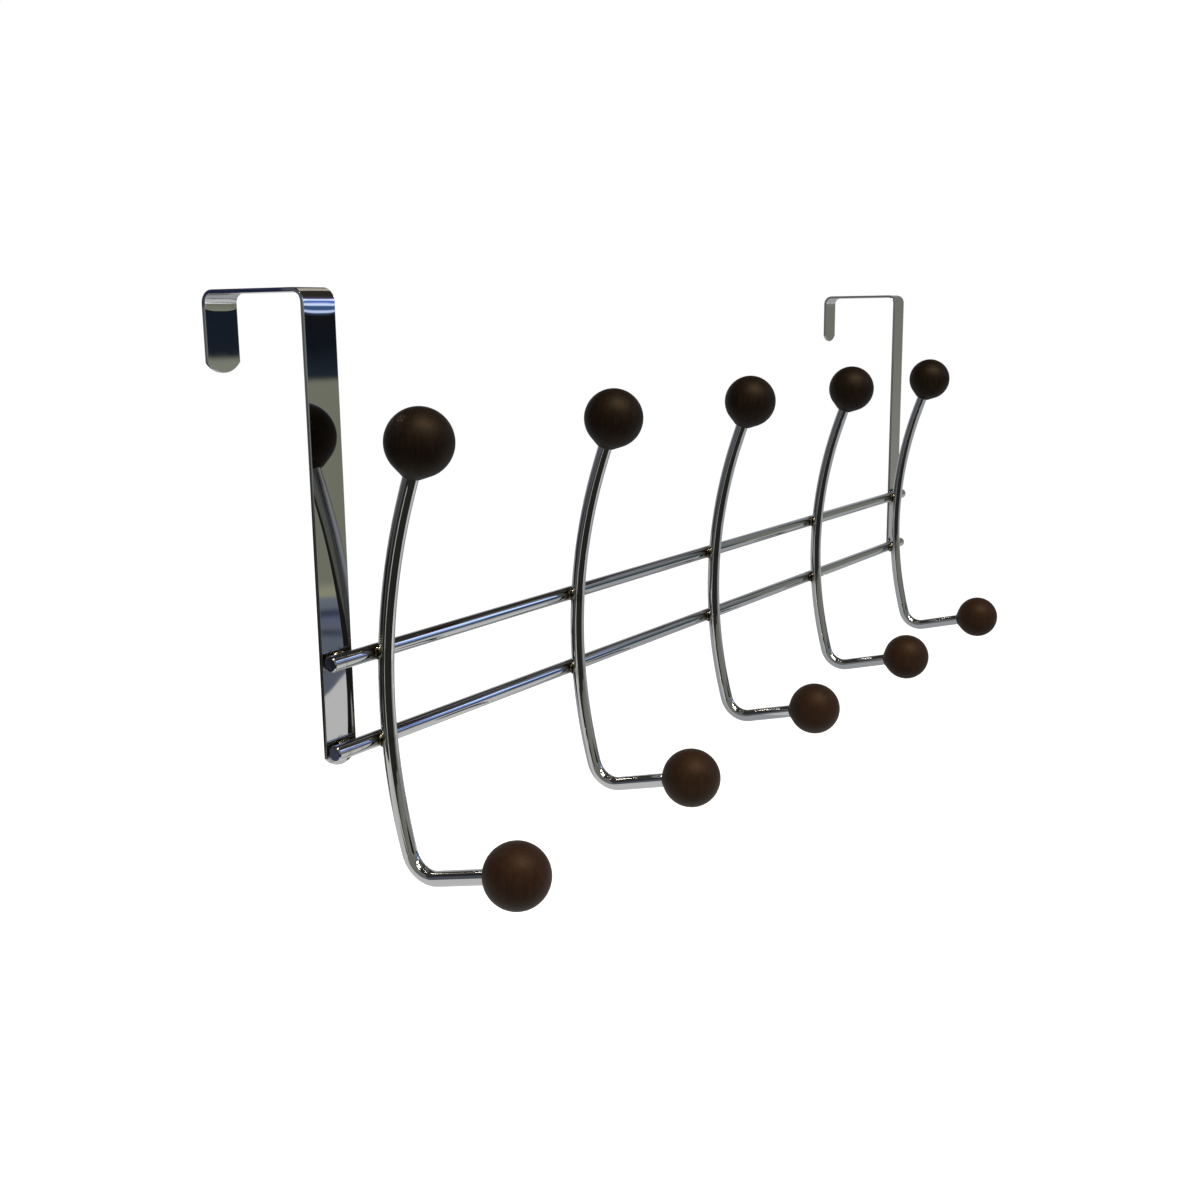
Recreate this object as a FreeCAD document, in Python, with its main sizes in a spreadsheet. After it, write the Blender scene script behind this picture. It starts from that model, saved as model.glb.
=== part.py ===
import FreeCAD, Part
import math
import os

import Sketcher

# Hook rail that hangs over the top of a door: two round rods are welded across
# two bent flat straps, and five bent wire hooks are welded to the front of the
# rods. Each end of each hook carries a turned wooden ball.
#
# Frame, in millimetres: the origin is on the door's top front edge, midway
# along the rail. X runs along the rods, to the right as seen from the room.
# Y points into the door, so the door's front face is the plane Y = 0.
# Z points up, and the door's top is the plane Z = 0.

os.makedirs("parts", exist_ok=True)
doc = FreeCAD.newDocument("over_door_hook_rail")

# Driving dimensions. Each is written once, and everything below is bound to
# them. Lengths are in millimetres and angles in degrees.
SIZES = [
    ("hook_count", 5, "hooks along the rods"),
    ("hook_pitch", 125, "from one hook to the next"),
    ("strap_offset", 16.5, "from the end hook's middle to the strap's middle"),
    ("rail_diameter", 6, "round rod"),
    ("rail_spacing", 33, "from rod to rod, up and down"),
    ("rail_drop", 129, "from the door's top down to the upper rod"),
    ("rail_end_setback", 0.8, "rod end short of the strap's outer edge"),
    ("rail_end_chamfer", 0.5, "eased edge of the rod's cut end"),
    ("rail_weld_flat", 0.2, "how far a rod melts flat against a strap"),
    ("wire_diameter", 6, "round wire of the hooks"),
    ("wire_weld_sink", 0.3, "how far a hook sinks into each rod at its weld"),
    ("wire_end_chamfer", 0.5, "eased edge of the wire's cut end"),
    ("bow_radius", 220, "long bow of the hook's back"),
    ("bow_lower_angle", 15.5, "bow from its middle down to the bend"),
    ("bow_upper_angle", 20, "bow from its middle up to the straight tip"),
    ("tip_length", 20, "from the bow's upper end to the upper ball's middle"),
    ("bend_radius", 11, "tight bend at the foot of the hook"),
    ("arm_rise", 14, "slope of the lower arm, up towards its ball"),
    ("arm_length", 37.5, "from the bend to the lower ball's middle"),
    ("ball_diameter", 25, "turned ball"),
    ("ball_neck_rise", 0.25, "flat face of the neck beyond the round of the ball"),
    ("ball_neck_rim", 0.8, "wood left round the bore on that face"),
    ("bore_depth", 15, "blind bore, from that face to its shoulder"),
    ("bore_clearance", 0.05, "glue gap all round the wire in the bore"),
    ("drill_point_angle", 118, "full angle of the bore's drilled bottom"),
    ("strap_width", 15.4, "flat strap"),
    ("strap_thickness", 1.5, "flat strap"),
    ("strap_bend_inside", 3.5, "inside radius of both top bends"),
    ("strap_edge_round", 0.35, "rounded edges all round the strap"),
    ("strap_end_crown", 3.75, "how far each rounded strap end bows out"),
    ("strap_tail", 6, "strap end below the lower rod's middle"),
    ("door_gap", 47, "clear space between the strap's two legs"),
    ("back_leg_length", 28, "back leg below the door's top"),
]

sizes = doc.addObject("Spreadsheet::Sheet", "sizes")
for row, (alias, value, meaning) in enumerate(SIZES, start=1):
    sizes.set(f"A{row}", alias)
    sizes.set(f"B{row}", str(value))
    sizes.set(f"C{row}", meaning)
    sizes.setAlias(f"B{row}", alias)
doc.recompute()

# Places that follow from the sizes: where the rods, the bow's centre, the two
# ends of each hook and the straps lie. A wire touches both rods when its bow
# is centred between them, and the bow bulges past the rods by bow_bulge.
LAYOUT = [
    ("rail_y", "-(sizes.strap_thickness + sizes.rail_diameter / 2 - sizes.rail_weld_flat)"),
    ("upper_rail_z", "-sizes.rail_drop"),
    ("lower_rail_z", "-(sizes.rail_drop + sizes.rail_spacing)"),
    ("bow_bulge", "sizes.bow_radius - sqrt(sizes.bow_radius ^ 2 - (sizes.rail_spacing / 2) ^ 2)"),
    ("wire_y", ".rail_y - (sizes.rail_diameter + sizes.wire_diameter) / 2 + sizes.wire_weld_sink"),
    ("bow_y", ".wire_y + .bow_bulge - sizes.bow_radius"),
    ("bow_z", "-(sizes.rail_drop + sizes.rail_spacing / 2)"),
    ("bend_y", ".bow_y + (sizes.bow_radius - sizes.bend_radius) * cos(sizes.bow_lower_angle)"),
    ("bend_z", ".bow_z - (sizes.bow_radius - sizes.bend_radius) * sin(sizes.bow_lower_angle)"),
    ("arm_y", ".bend_y - sizes.bend_radius * sin(sizes.arm_rise)"),
    ("arm_z", ".bend_z - sizes.bend_radius * cos(sizes.arm_rise)"),
    ("lower_ball_y", ".arm_y - sizes.arm_length * cos(sizes.arm_rise)"),
    ("lower_ball_z", ".arm_z + sizes.arm_length * sin(sizes.arm_rise)"),
    ("tip_y", ".bow_y + sizes.bow_radius * cos(sizes.bow_upper_angle)"),
    ("tip_z", ".bow_z + sizes.bow_radius * sin(sizes.bow_upper_angle)"),
    ("upper_ball_y", ".tip_y - sizes.tip_length * sin(sizes.bow_upper_angle)"),
    ("upper_ball_z", ".tip_z + sizes.tip_length * cos(sizes.bow_upper_angle)"),
    ("ball_face", "sizes.ball_diameter / 2 + sizes.ball_neck_rise"),
    ("bore_radius", "sizes.wire_diameter / 2 + sizes.bore_clearance"),
    ("wire_in_ball", "sizes.bore_depth - .ball_face"),
    ("strap_x", "(sizes.hook_count - 1) / 2 * sizes.hook_pitch + sizes.strap_offset"),
    ("rail_length", "2 * (.strap_x + sizes.strap_width / 2 - sizes.rail_end_setback)"),
    ("strap_foot_z", ".lower_rail_z - sizes.strap_tail"),
]

layout = doc.addObject("App::VarSet", "layout")
for place, formula in LAYOUT:
    layout.addProperty("App::PropertyFloat", place, "Places", "follows from the sizes")
    layout.setExpression(place, formula)
    doc.recompute()


def size(alias):
    """A driving dimension, as the sheet holds it."""
    return float(sizes.get(alias))


def point(across, up):
    """A point of a sketch, in the sketch's own plane."""
    return FreeCAD.Vector(across, up, 0)


def polar(centre, radius, angle):
    """The point of a sketched circle at an angle in radians."""
    return point(centre.x + radius * math.cos(angle), centre.y + radius * math.sin(angle))


def arc(centre, radius, start, end):
    """A sketched arc that runs anticlockwise between two angles in radians."""
    circle = Part.Circle(centre, FreeCAD.Vector(0, 0, 1), radius)
    return Part.ArcOfCircle(circle, start, end)


def ring(radius):
    """A full sketched circle on the sketch's origin."""
    return Part.Circle(point(0, 0), FreeCAD.Vector(0, 0, 1), radius)


def path_of(points):
    """Straight lines from each point to the next."""
    return [Part.LineSegment(a, b) for a, b in zip(points, points[1:])]


def new_body(label):
    """An empty body that carries its own name."""
    body = doc.addObject("PartDesign::Body", label)
    body.Label = label
    return body


def new_sketch(body, name, plane, offset=None):
    """A sketch on one of the body's own origin planes, moved out by an expression."""
    sketch = body.newObject("Sketcher::SketchObject", name)
    support = [part for part in body.Origin.OriginFeatures if part.Role == plane][0]
    sketch.AttachmentSupport = [(support, "")]
    sketch.MapMode = "FlatFace"
    if offset:
        sketch.setExpression("AttachmentOffset.Base.z", offset)
    return sketch


def bind(sketch, name, formula, *constraint):
    """Add a dimension to a sketch and tie it to the sizes."""
    index = sketch.addConstraint(Sketcher.Constraint(*constraint))
    sketch.renameConstraint(index, name)
    sketch.setExpression(f"Constraints.{name}", formula)


# Sketcher's own numbers for a curve's ends and centre, and for the sketch's
# origin and its two axes.
START, END, CENTRE = range(1, 4)
ORIGIN, VERTICAL_AXIS = range(-1, -3, -1)


def hook_path(body):
    """Centre line of the bent wire, seen from the side: arm, bend, bow and tip."""
    sketch = new_sketch(body, f"{body.Label}_path", "YZ_Plane")
    rise = math.radians(size("arm_rise"))
    lower = math.radians(size("bow_lower_angle"))
    upper = math.radians(size("bow_upper_angle"))
    bow = point(layout.bow_y, layout.bow_z)
    bend = point(layout.bend_y, layout.bend_z)
    inner = point(layout.arm_y, layout.arm_z)
    tip = point(layout.tip_y, layout.tip_z)
    arm_straight = size("arm_length") + layout.wire_in_ball
    tip_straight = size("tip_length") + layout.wire_in_ball
    outer = polar(inner, arm_straight, math.pi - rise)
    top = polar(tip, tip_straight, math.pi / 2 + upper)
    arm_line, bend_arc, bow_arc, tip_line = sketch.addGeometry([
        Part.LineSegment(outer, inner),
        arc(bend, size("bend_radius"), -math.pi / 2 - rise, -lower),
        arc(bow, size("bow_radius"), -lower, upper),
        Part.LineSegment(tip, top),
    ])
    start_ray = sketch.addGeometry(Part.LineSegment(bow, polar(bow, size("bow_radius"), -lower)), True)
    joints = [
        ("Tangent", arm_line, END, bend_arc, START),
        ("Tangent", bend_arc, END, bow_arc, START),
        ("Tangent", bow_arc, END, tip_line, START),
        ("Coincident", start_ray, START, bow_arc, CENTRE),
        ("Coincident", start_ray, END, bow_arc, START),
    ]
    for joint in joints:
        sketch.addConstraint(Sketcher.Constraint(*joint))
    centre_to_origin = (bow_arc, CENTRE, ORIGIN, START)
    bind(sketch, "bow_in", "-layout.bow_y", "DistanceX", *centre_to_origin, -layout.bow_y)
    bind(sketch, "bow_down", "-layout.bow_z", "DistanceY", *centre_to_origin, -layout.bow_z)
    bind(sketch, "bow_radius", "sizes.bow_radius", "Radius", bow_arc, size("bow_radius"))
    bind(sketch, "bend_radius", "sizes.bend_radius", "Radius", bend_arc, size("bend_radius"))
    bind(sketch, "arm_straight", "sizes.arm_length + layout.wire_in_ball",
         "Distance", arm_line, arm_straight)
    bind(sketch, "tip_straight", "sizes.tip_length + layout.wire_in_ball",
         "Distance", tip_line, tip_straight)
    bind(sketch, "bow_lower_angle", "-sizes.bow_lower_angle", "Angle", start_ray, -lower)
    bind(sketch, "arm_angle", "-sizes.arm_rise", "Angle", arm_line, -rise)
    bind(sketch, "tip_angle", "90 + sizes.bow_upper_angle", "Angle", tip_line, math.pi / 2 + upper)
    return sketch


def hook_wire(number):
    """One hook: round wire swept along its bent centre line, with eased cut ends."""
    body = new_body(f"hook_wire_{number}")
    path = hook_path(body)
    section = body.newObject("Sketcher::SketchObject", f"{body.Label}_section")
    section.AttachmentSupport = [(path, "Edge1")]
    section.MapMode = "NormalToEdge"
    circle = section.addGeometry(ring(size("wire_diameter") / 2))
    section.addConstraint(Sketcher.Constraint("Coincident", circle, CENTRE, ORIGIN, START))
    bind(section, "wire_diameter", "sizes.wire_diameter", "Diameter", circle, size("wire_diameter"))
    wire = body.newObject("PartDesign::AdditivePipe", f"{body.Label}_wire")
    wire.Profile = section
    wire.Spine = path
    doc.recompute()
    ease_ends(body, wire, "sizes.wire_end_chamfer")
    body.setExpression("Placement.Base.x", hook_x(number))
    return body


def ease_ends(body, feature, formula):
    """Chamfer the round edges of a rod's two flat ends."""
    rims = [
        f"Edge{index}"
        for index, edge in enumerate(feature.Shape.Edges, start=1)
        if any(is_flat(face) for face in feature.Shape.ancestorsOfType(edge, Part.Face))
    ]
    chamfer = body.newObject("PartDesign::Chamfer", f"{body.Label}_eased_ends")
    chamfer.Base = (feature, rims)
    chamfer.setExpression("Size", formula)
    doc.recompute()


def is_flat(face):
    """Whether a face is a plane."""
    return isinstance(face.Surface, Part.Plane)


def hook_x(number):
    """Place of a hook along the rods, counted from 1 at the left end."""
    return f"({number} - (sizes.hook_count + 1) / 2) * sizes.hook_pitch"


def ball(label, number, turn):
    """A turned ball with a flat-faced neck and a blind bore that takes the wire's end.

    Its own frame has the middle of the ball at the origin and the bore's mouth
    up; turn is the angle about X that aims the mouth back along the wire.
    """
    body = new_body(f"{label}_{number}")
    sketch = new_sketch(body, f"{body.Label}_profile", "XZ_Plane")
    radius = size("ball_diameter") / 2
    face, bore = layout.ball_face, layout.bore_radius
    neck = bore + size("ball_neck_rim")
    to_neck = math.hypot(neck, face)
    touch = math.atan2(face, neck) - math.acos(radius / to_neck)
    point_depth = bore / math.tan(math.radians(size("drill_point_angle") / 2))
    shoulder = face - size("bore_depth")
    outline = [
        polar(point(0, 0), radius, touch),
        point(neck, face),
        point(bore, face),
        point(bore, shoulder),
        point(0, shoulder - point_depth),
        point(0, -radius),
    ]
    round_arc = sketch.addGeometry(arc(point(0, 0), radius, -math.pi / 2, touch))
    neck_cone, neck_face, bore_wall, drill_point, axis = sketch.addGeometry(path_of(outline))
    joints = [
        ("Coincident", round_arc, CENTRE, ORIGIN, START),
        ("PointOnObject", round_arc, START, VERTICAL_AXIS),
        ("Tangent", round_arc, END, neck_cone, START),
        ("Coincident", neck_cone, END, neck_face, START),
        ("Coincident", neck_face, END, bore_wall, START),
        ("Coincident", bore_wall, END, drill_point, START),
        ("Coincident", drill_point, END, axis, START),
        ("Coincident", axis, END, round_arc, START),
        ("Horizontal", neck_face),
        ("Vertical", bore_wall),
        ("Vertical", axis),
    ]
    for joint in joints:
        sketch.addConstraint(Sketcher.Constraint(*joint))
    face_level = (ORIGIN, START, neck_face, START)
    bind(sketch, "ball_radius", "sizes.ball_diameter / 2", "Radius", round_arc, radius)
    bind(sketch, "face_height", "layout.ball_face", "DistanceY", *face_level, face)
    bind(sketch, "neck_radius", "layout.bore_radius + sizes.ball_neck_rim",
         "DistanceX", *face_level, neck)
    bind(sketch, "bore_radius", "layout.bore_radius",
         "DistanceX", ORIGIN, START, bore_wall, START, bore)
    bind(sketch, "bore_depth", "sizes.bore_depth", "Distance", bore_wall, size("bore_depth"))
    bind(sketch, "drill_point", "layout.bore_radius / tan(sizes.drill_point_angle / 2)",
         "DistanceY", drill_point, END, drill_point, START, point_depth)
    turned = body.newObject("PartDesign::Revolution", f"{body.Label}_turned")
    turned.Profile = sketch
    turned.ReferenceAxis = (sketch, ["V_Axis"])
    place = f"vector({hook_x(number)}; layout.{label}_y; layout.{label}_z)"
    body.setExpression("Placement", f"placement({place}; rotation(vector(1; 0; 0); {turn}))")
    return body


def strap_side(body):
    """Closed outline of the bent strap, seen from the side.

    Both legs are a crown too long, because the rounded ends are cut from them.
    """
    sketch = new_sketch(body, f"{body.Label}_side", "YZ_Plane")
    inside, thick, gap = size("strap_bend_inside"), size("strap_thickness"), size("door_gap")
    waste = size("strap_end_crown")
    outside, foot, leg = inside + thick, layout.strap_foot_z - waste, -size("back_leg_length") - waste
    front, back = point(inside, -inside), point(gap - inside, -inside)
    quarter = math.pi / 2
    (front_back, underside, back_front, leg_end, back_back, top, front_front, foot_end) = \
        sketch.addGeometry([
            Part.LineSegment(point(0, foot), point(0, -inside)),
            Part.LineSegment(point(inside, 0), point(gap - inside, 0)),
            Part.LineSegment(point(gap, -inside), point(gap, leg)),
            Part.LineSegment(point(gap, leg), point(gap + thick, leg)),
            Part.LineSegment(point(gap + thick, leg), point(gap + thick, -inside)),
            Part.LineSegment(point(gap - inside, thick), point(inside, thick)),
            Part.LineSegment(point(-thick, -inside), point(-thick, foot)),
            Part.LineSegment(point(-thick, foot), point(0, foot)),
        ])
    front_in, back_in, back_out, front_out = sketch.addGeometry([
        arc(front, inside, quarter, 2 * quarter),
        arc(back, inside, 0, quarter),
        arc(back, outside, 0, quarter),
        arc(front, outside, quarter, 2 * quarter),
    ])
    joints = [
        ("Tangent", front_back, END, front_in, END),
        ("Tangent", front_in, START, underside, START),
        ("Tangent", underside, END, back_in, END),
        ("Tangent", back_in, START, back_front, START),
        ("Coincident", back_front, END, leg_end, START),
        ("Coincident", leg_end, END, back_back, START),
        ("Tangent", back_back, END, back_out, START),
        ("Tangent", back_out, END, top, START),
        ("Tangent", top, END, front_out, START),
        ("Tangent", front_out, END, front_front, START),
        ("Coincident", front_front, END, foot_end, START),
        ("Coincident", foot_end, END, front_back, START),
        ("Vertical", front_back),
        ("Horizontal", underside),
        ("Vertical", back_front),
        ("Horizontal", leg_end),
        ("Vertical", back_back),
        ("Horizontal", top),
        ("Vertical", front_front),
        ("Horizontal", foot_end),
        ("Coincident", front_in, CENTRE, front_out, CENTRE),
        ("Coincident", back_in, CENTRE, back_out, CENTRE),
        ("Equal", front_in, back_in),
        ("PointOnObject", front_back, START, VERTICAL_AXIS),
        ("PointOnObject", underside, START, ORIGIN),
    ]
    for joint in joints:
        sketch.addConstraint(Sketcher.Constraint(*joint))
    bind(sketch, "bend_inside", "sizes.strap_bend_inside", "Radius", front_in, inside)
    bind(sketch, "thickness", "sizes.strap_thickness",
         "DistanceX", foot_end, START, foot_end, END, thick)
    bind(sketch, "door_gap", "sizes.door_gap", "DistanceX", ORIGIN, START, back_front, END, gap)
    bind(sketch, "back_leg", "sizes.back_leg_length + sizes.strap_end_crown",
         "DistanceY", back_front, END, ORIGIN, START, -leg)
    bind(sketch, "front_leg", "sizes.strap_end_crown - layout.strap_foot_z",
         "DistanceY", front_back, START, ORIGIN, START, -foot)
    return sketch


def round_strap_end(body, name, level, level_formula, offset):
    """Cut a leg's end to length, so that it bows out by the crown down to a level."""
    half, crown = size("strap_width") / 2, size("strap_end_crown")
    radius = (half ** 2 + crown ** 2) / (2 * crown)
    centre = point(0, level + radius)
    reach = math.asin(half / radius)
    sketch = new_sketch(body, f"{body.Label}_{name}", "XZ_Plane", offset)
    low, side = level - 2 * crown, half + crown
    corners = [
        point(half, level + crown),
        point(side, level + crown),
        point(side, low),
        point(-side, low),
        point(-side, level + crown),
        point(-half, level + crown),
    ]
    bow = sketch.addGeometry(arc(centre, radius, -math.pi / 2 - reach, -math.pi / 2 + reach))
    right_in, right, bottom, left, left_in = sketch.addGeometry(path_of(corners))
    joints = [
        ("PointOnObject", bow, CENTRE, VERTICAL_AXIS),
        ("Coincident", bow, END, right_in, START),
        ("Coincident", right_in, END, right, START),
        ("Coincident", right, END, bottom, START),
        ("Coincident", bottom, END, left, START),
        ("Coincident", left, END, left_in, START),
        ("Coincident", left_in, END, bow, START),
        ("Horizontal", right_in),
        ("Vertical", right),
        ("Horizontal", bottom),
        ("Vertical", left),
        ("Horizontal", left_in),
    ]
    for joint in joints:
        sketch.addConstraint(Sketcher.Constraint(*joint))
    half_formula, crown_formula = "sizes.strap_width / 2", "sizes.strap_end_crown"
    bind(sketch, "right_corner", half_formula, "DistanceX", ORIGIN, START, bow, END, half)
    bind(sketch, "left_corner", half_formula, "DistanceX", bow, START, ORIGIN, START, half)
    bind(sketch, "corner_level", f"-({level_formula}) - {crown_formula}",
         "DistanceY", bow, END, ORIGIN, START, -level - crown)
    bind(sketch, "end_radius", f"(({half_formula}) ^ 2 + {crown_formula} ^ 2) / (2 * {crown_formula})",
         "Radius", bow, radius)
    bind(sketch, "right_waste", crown_formula, "Distance", right_in, crown)
    bind(sketch, "left_waste", crown_formula, "Distance", left_in, crown)
    bind(sketch, "waste_depth", f"3 * {crown_formula}", "Distance", right, 3 * crown)
    cut = body.newObject("PartDesign::Pocket", f"{body.Label}_{name}_cut")
    cut.Profile = sketch
    cut.Type = "ThroughAll"
    return cut


def strap(side, sign):
    """A flat strap bent over the door's top, with rounded ends and long edges."""
    body = new_body(f"{side}_door_strap")
    bent = body.newObject("PartDesign::Pad", f"{body.Label}_bent")
    bent.Profile = strap_side(body)
    bent.SideType = "Symmetric"
    bent.setExpression("Length", "sizes.strap_width")
    doc.recompute()
    round_strap_end(body, "foot", layout.strap_foot_z, "layout.strap_foot_z",
                    "sizes.strap_thickness")
    doc.recompute()
    tip = round_strap_end(body, "back_tip", -size("back_leg_length"), "-sizes.back_leg_length",
                          "-sizes.door_gap / 2")
    doc.recompute()
    rounded = body.newObject("PartDesign::Fillet", f"{body.Label}_rounded")
    rounded.Base = (tip, strap_rims(tip.Shape))
    rounded.setExpression("Radius", "sizes.strap_edge_round")
    body.setExpression("Placement.Base.x", f"{sign} * layout.strap_x")
    return body


def strap_rims(shape):
    """The edges all round the strap's sides and ends, which leaves only its bend lines."""
    return [
        f"Edge{index}"
        for index, edge in enumerate(shape.Edges, start=1)
        if any(is_side(face) or is_end(face) for face in shape.ancestorsOfType(edge, Part.Face))
    ]


def is_side(face):
    """Whether a face of the strap looks along the rods."""
    return is_flat(face) and round(abs(face.normalAt(0, 0).x)) == 1


def is_end(face):
    """Whether a face of the strap is one of its rounded ends."""
    return isinstance(face.Surface, Part.Cylinder) and round(abs(face.Surface.Axis.y)) == 1


def rail_blank(label, level):
    """A plain round rod with eased ends, before the welds."""
    body = new_body(f"{label}_blank")
    sketch = new_sketch(body, f"{body.Label}_section", "YZ_Plane")
    circle = sketch.addGeometry(ring(size("rail_diameter") / 2))
    sketch.addConstraint(Sketcher.Constraint("Coincident", circle, CENTRE, ORIGIN, START))
    bind(sketch, "rail_diameter", "sizes.rail_diameter", "Diameter", circle, size("rail_diameter"))
    rod = body.newObject("PartDesign::Pad", f"{body.Label}_rod")
    rod.Profile = sketch
    rod.SideType = "Symmetric"
    rod.setExpression("Length", "layout.rail_length")
    doc.recompute()
    ease_ends(body, rod, "sizes.rail_end_chamfer")
    body.setExpression("Placement.Base.y", "layout.rail_y")
    body.setExpression("Placement.Base.z", level)
    return body


def rail(label, level, neighbours):
    """A rod with a seat melted into it wherever a strap or a hook is welded on."""
    seated = doc.addObject("Part::Cut", label)
    seated.Label = label
    seated.Base = rail_blank(label, level)
    seated.Tool = neighbours
    return seated


hooks = range(1, int(size("hook_count")) + 1)
straps = [strap("left", -1), strap("right", 1)]
wires = [hook_wire(number) for number in hooks]
balls = [ball("upper_ball", number, "180 + sizes.bow_upper_angle") for number in hooks]
balls += [ball("lower_ball", number, "-90 - sizes.arm_rise") for number in hooks]

welded_on = doc.addObject("Part::Compound", "welded_on")
welded_on.Links = straps + wires
rails = [
    rail("upper_rail", "layout.upper_rail_z", welded_on),
    rail("lower_rail", "layout.lower_rail_z", welded_on),
]
doc.recompute()

for item in doc.Objects:
    if {"Invalid", "Error"} & set(item.State):
        raise RuntimeError(f"{item.Label} did not compute: {item.State}")

subparts = straps + rails + wires + balls
for piece in subparts:
    shape = piece.Shape
    if shape.isNull() or not shape.isValid() or len(shape.Solids) != 1:
        raise RuntimeError(f"{piece.Label} is not one sound solid")

for piece in subparts:
    piece.Shape.exportStep(f"parts/{piece.Label}.step")
    print(f"{piece.Label}: {piece.Shape.Volume:.1f} mm3")
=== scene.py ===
# %% [markdown]
# # A hook rail for the top of a door
# The real object is chromed steel: two flat straps that bend over the door, two
# round rods, five bent wire hooks, and a dark turned wooden ball on each end of
# each hook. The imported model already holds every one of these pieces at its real
# size. This lesson gives them their finishes, adds the small beads of weld metal
# that hold the rods, and lights them. Everything is in metres in the model's own
# frame: X runs along the rods, Y goes into the door and Z points up.

# %% Load the fixed frame
import math

import bpy
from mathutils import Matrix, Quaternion, Vector


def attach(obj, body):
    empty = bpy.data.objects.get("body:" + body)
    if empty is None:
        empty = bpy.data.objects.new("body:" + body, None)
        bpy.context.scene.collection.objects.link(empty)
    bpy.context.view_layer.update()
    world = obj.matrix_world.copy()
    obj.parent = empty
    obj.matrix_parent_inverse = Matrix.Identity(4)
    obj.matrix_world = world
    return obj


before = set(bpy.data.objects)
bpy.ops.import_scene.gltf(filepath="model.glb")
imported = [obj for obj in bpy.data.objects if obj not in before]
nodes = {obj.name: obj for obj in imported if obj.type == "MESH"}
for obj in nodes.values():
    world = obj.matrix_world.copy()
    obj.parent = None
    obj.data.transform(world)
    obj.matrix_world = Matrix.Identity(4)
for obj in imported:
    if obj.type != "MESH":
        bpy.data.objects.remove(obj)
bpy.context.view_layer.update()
MM = 0.001

print("pieces in the frame:", len(nodes))

# %% [markdown]
# The nodes fall into families by name. Asking the frame for them, instead of
# writing each name, keeps the rest of the script the same if a hook is added.

# %% Sort the nodes into families
def family(prefix):
    """The names of the nodes that start in one way, in order."""
    return sorted(name for name in nodes if name.startswith(prefix))


hooks = family("hook_wire")
rods = ["upper_rail", "lower_rail"]
straps = ["left_door_strap", "right_door_strap"]
balls = family("upper_ball") + family("lower_ball")
print("hooks", len(hooks), "rods", len(rods), "straps", len(straps), "balls", len(balls))

# %% [markdown]
# The camera comes first, because everything after it is judged through it. It
# stands a little left of the rail and near the first hook, so the rods run away
# from it steeply and the far hooks look much smaller. Its place and aim are real
# measures in the model's frame.

# %% Camera
CAMERA_PLACE = Vector((-621.5, -347.3, -9.2)) * MM
CAMERA_TURN = math.radians(33.27)
CAMERA_TILT = math.radians(-11.51)
CAMERA_ROLL = math.radians(-0.69)
LENS_MM = 41.9


def towards(turn, rise):
    """The direction that is turned from +X towards +Y and rises above the horizon."""
    flat = math.cos(rise)
    return Vector((flat * math.cos(turn), flat * math.sin(turn), math.sin(rise)))


bpy.ops.object.camera_add(location=CAMERA_PLACE)
camera = bpy.context.object
camera.name = "photo_camera"
aim = towards(CAMERA_TURN, CAMERA_TILT).to_track_quat("-Z", "Y")
camera.rotation_mode = "QUATERNION"
camera.rotation_quaternion = aim @ Quaternion((0, 0, 1), CAMERA_ROLL)
camera.data.lens = LENS_MM
camera.data.clip_start = 0.01
bpy.context.scene.camera = camera
print("camera at", [round(v, 3) for v in camera.location])

# %% [markdown]
# Materials are built from nodes. One small function adds a node: it sets what it is
# given, links an input to another node, or fills it with a number. Two more open and
# close a material round those nodes, and the first turns the colour codes that
# people write into the linear numbers that a renderer uses.

# %% Node and colour helpers
def linear(code):
    """A colour written as #rrggbb, as the linear red, green, blue and alpha of a shader."""
    parts = [int(code[i:i + 2], 16) / 255 for i in (1, 3, 5)]
    return [c / 12.92 if c <= 0.04045 else ((c + 0.055) / 1.055) ** 2.4 for c in parts] + [1.0]


def add(tree, kind, inputs=None, stops=(), **settings):
    """A new node. Inputs are nodes, outputs or values. Stops are a ramp's places and colours."""
    node = tree.nodes.new(kind)
    for name, value in settings.items():
        setattr(node, name, value)
    for name, source in (inputs or {}).items():
        if isinstance(source, bpy.types.Node):
            source = next(output for output in source.outputs if output.enabled)
        if isinstance(source, bpy.types.NodeSocket):
            tree.links.new(source, node.inputs[name])
        else:
            node.inputs[name].default_value = source
    while stops and len(node.color_ramp.elements) < len(stops):
        node.color_ramp.elements.new(0.5)
    for number, (place, code) in enumerate(stops):
        node.color_ramp.elements[number].position = place
        node.color_ramp.elements[number].color = linear(code)
    return node


def new_material(name):
    """An empty material and its node tree."""
    material = bpy.data.materials.new(name)
    material.use_nodes = True
    material.node_tree.nodes.clear()
    return material, material.node_tree


def close_material(tree, sockets):
    """The main shader with its sockets filled, and the output that shows it."""
    shader = add(tree, "ShaderNodeBsdfPrincipled", sockets)
    add(tree, "ShaderNodeOutputMaterial", {"Surface": shader})


print("middle grey is", [round(part, 3) for part in linear("#808080")])

# %% [markdown]
# Where two parts are welded, the heat and the thin plating leave a golden brown
# cast that fades out within a few millimetres. The plate therefore has to know how
# far each spot is from a weld. The welds lie in a pattern: the same on the left and
# the right, on both rods and at every hook. The space is folded along that pattern,
# so one distance serves for all the hooks and one for all the straps. Round a strap
# the cast is drawn out along the rod and is shorter up the strap.

# %% Distance to the nearest weld
PITCH_MM = 125
STRAP_MM = 266.5
HOOK_CONTACT_MM = -7.1
STRAP_FACE_MM = -1.5
RODS_MIDDLE_MM = -145.5
RODS_HALF_GAP_MM = 16.5
STRAP_CAST_SQUEEZE = (0.5, 1.0, 1.25)
# Nothing is a metre away, so a wrap at one metre leaves Y and Z as they are.
BEYOND_ALL = 1.0


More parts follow.
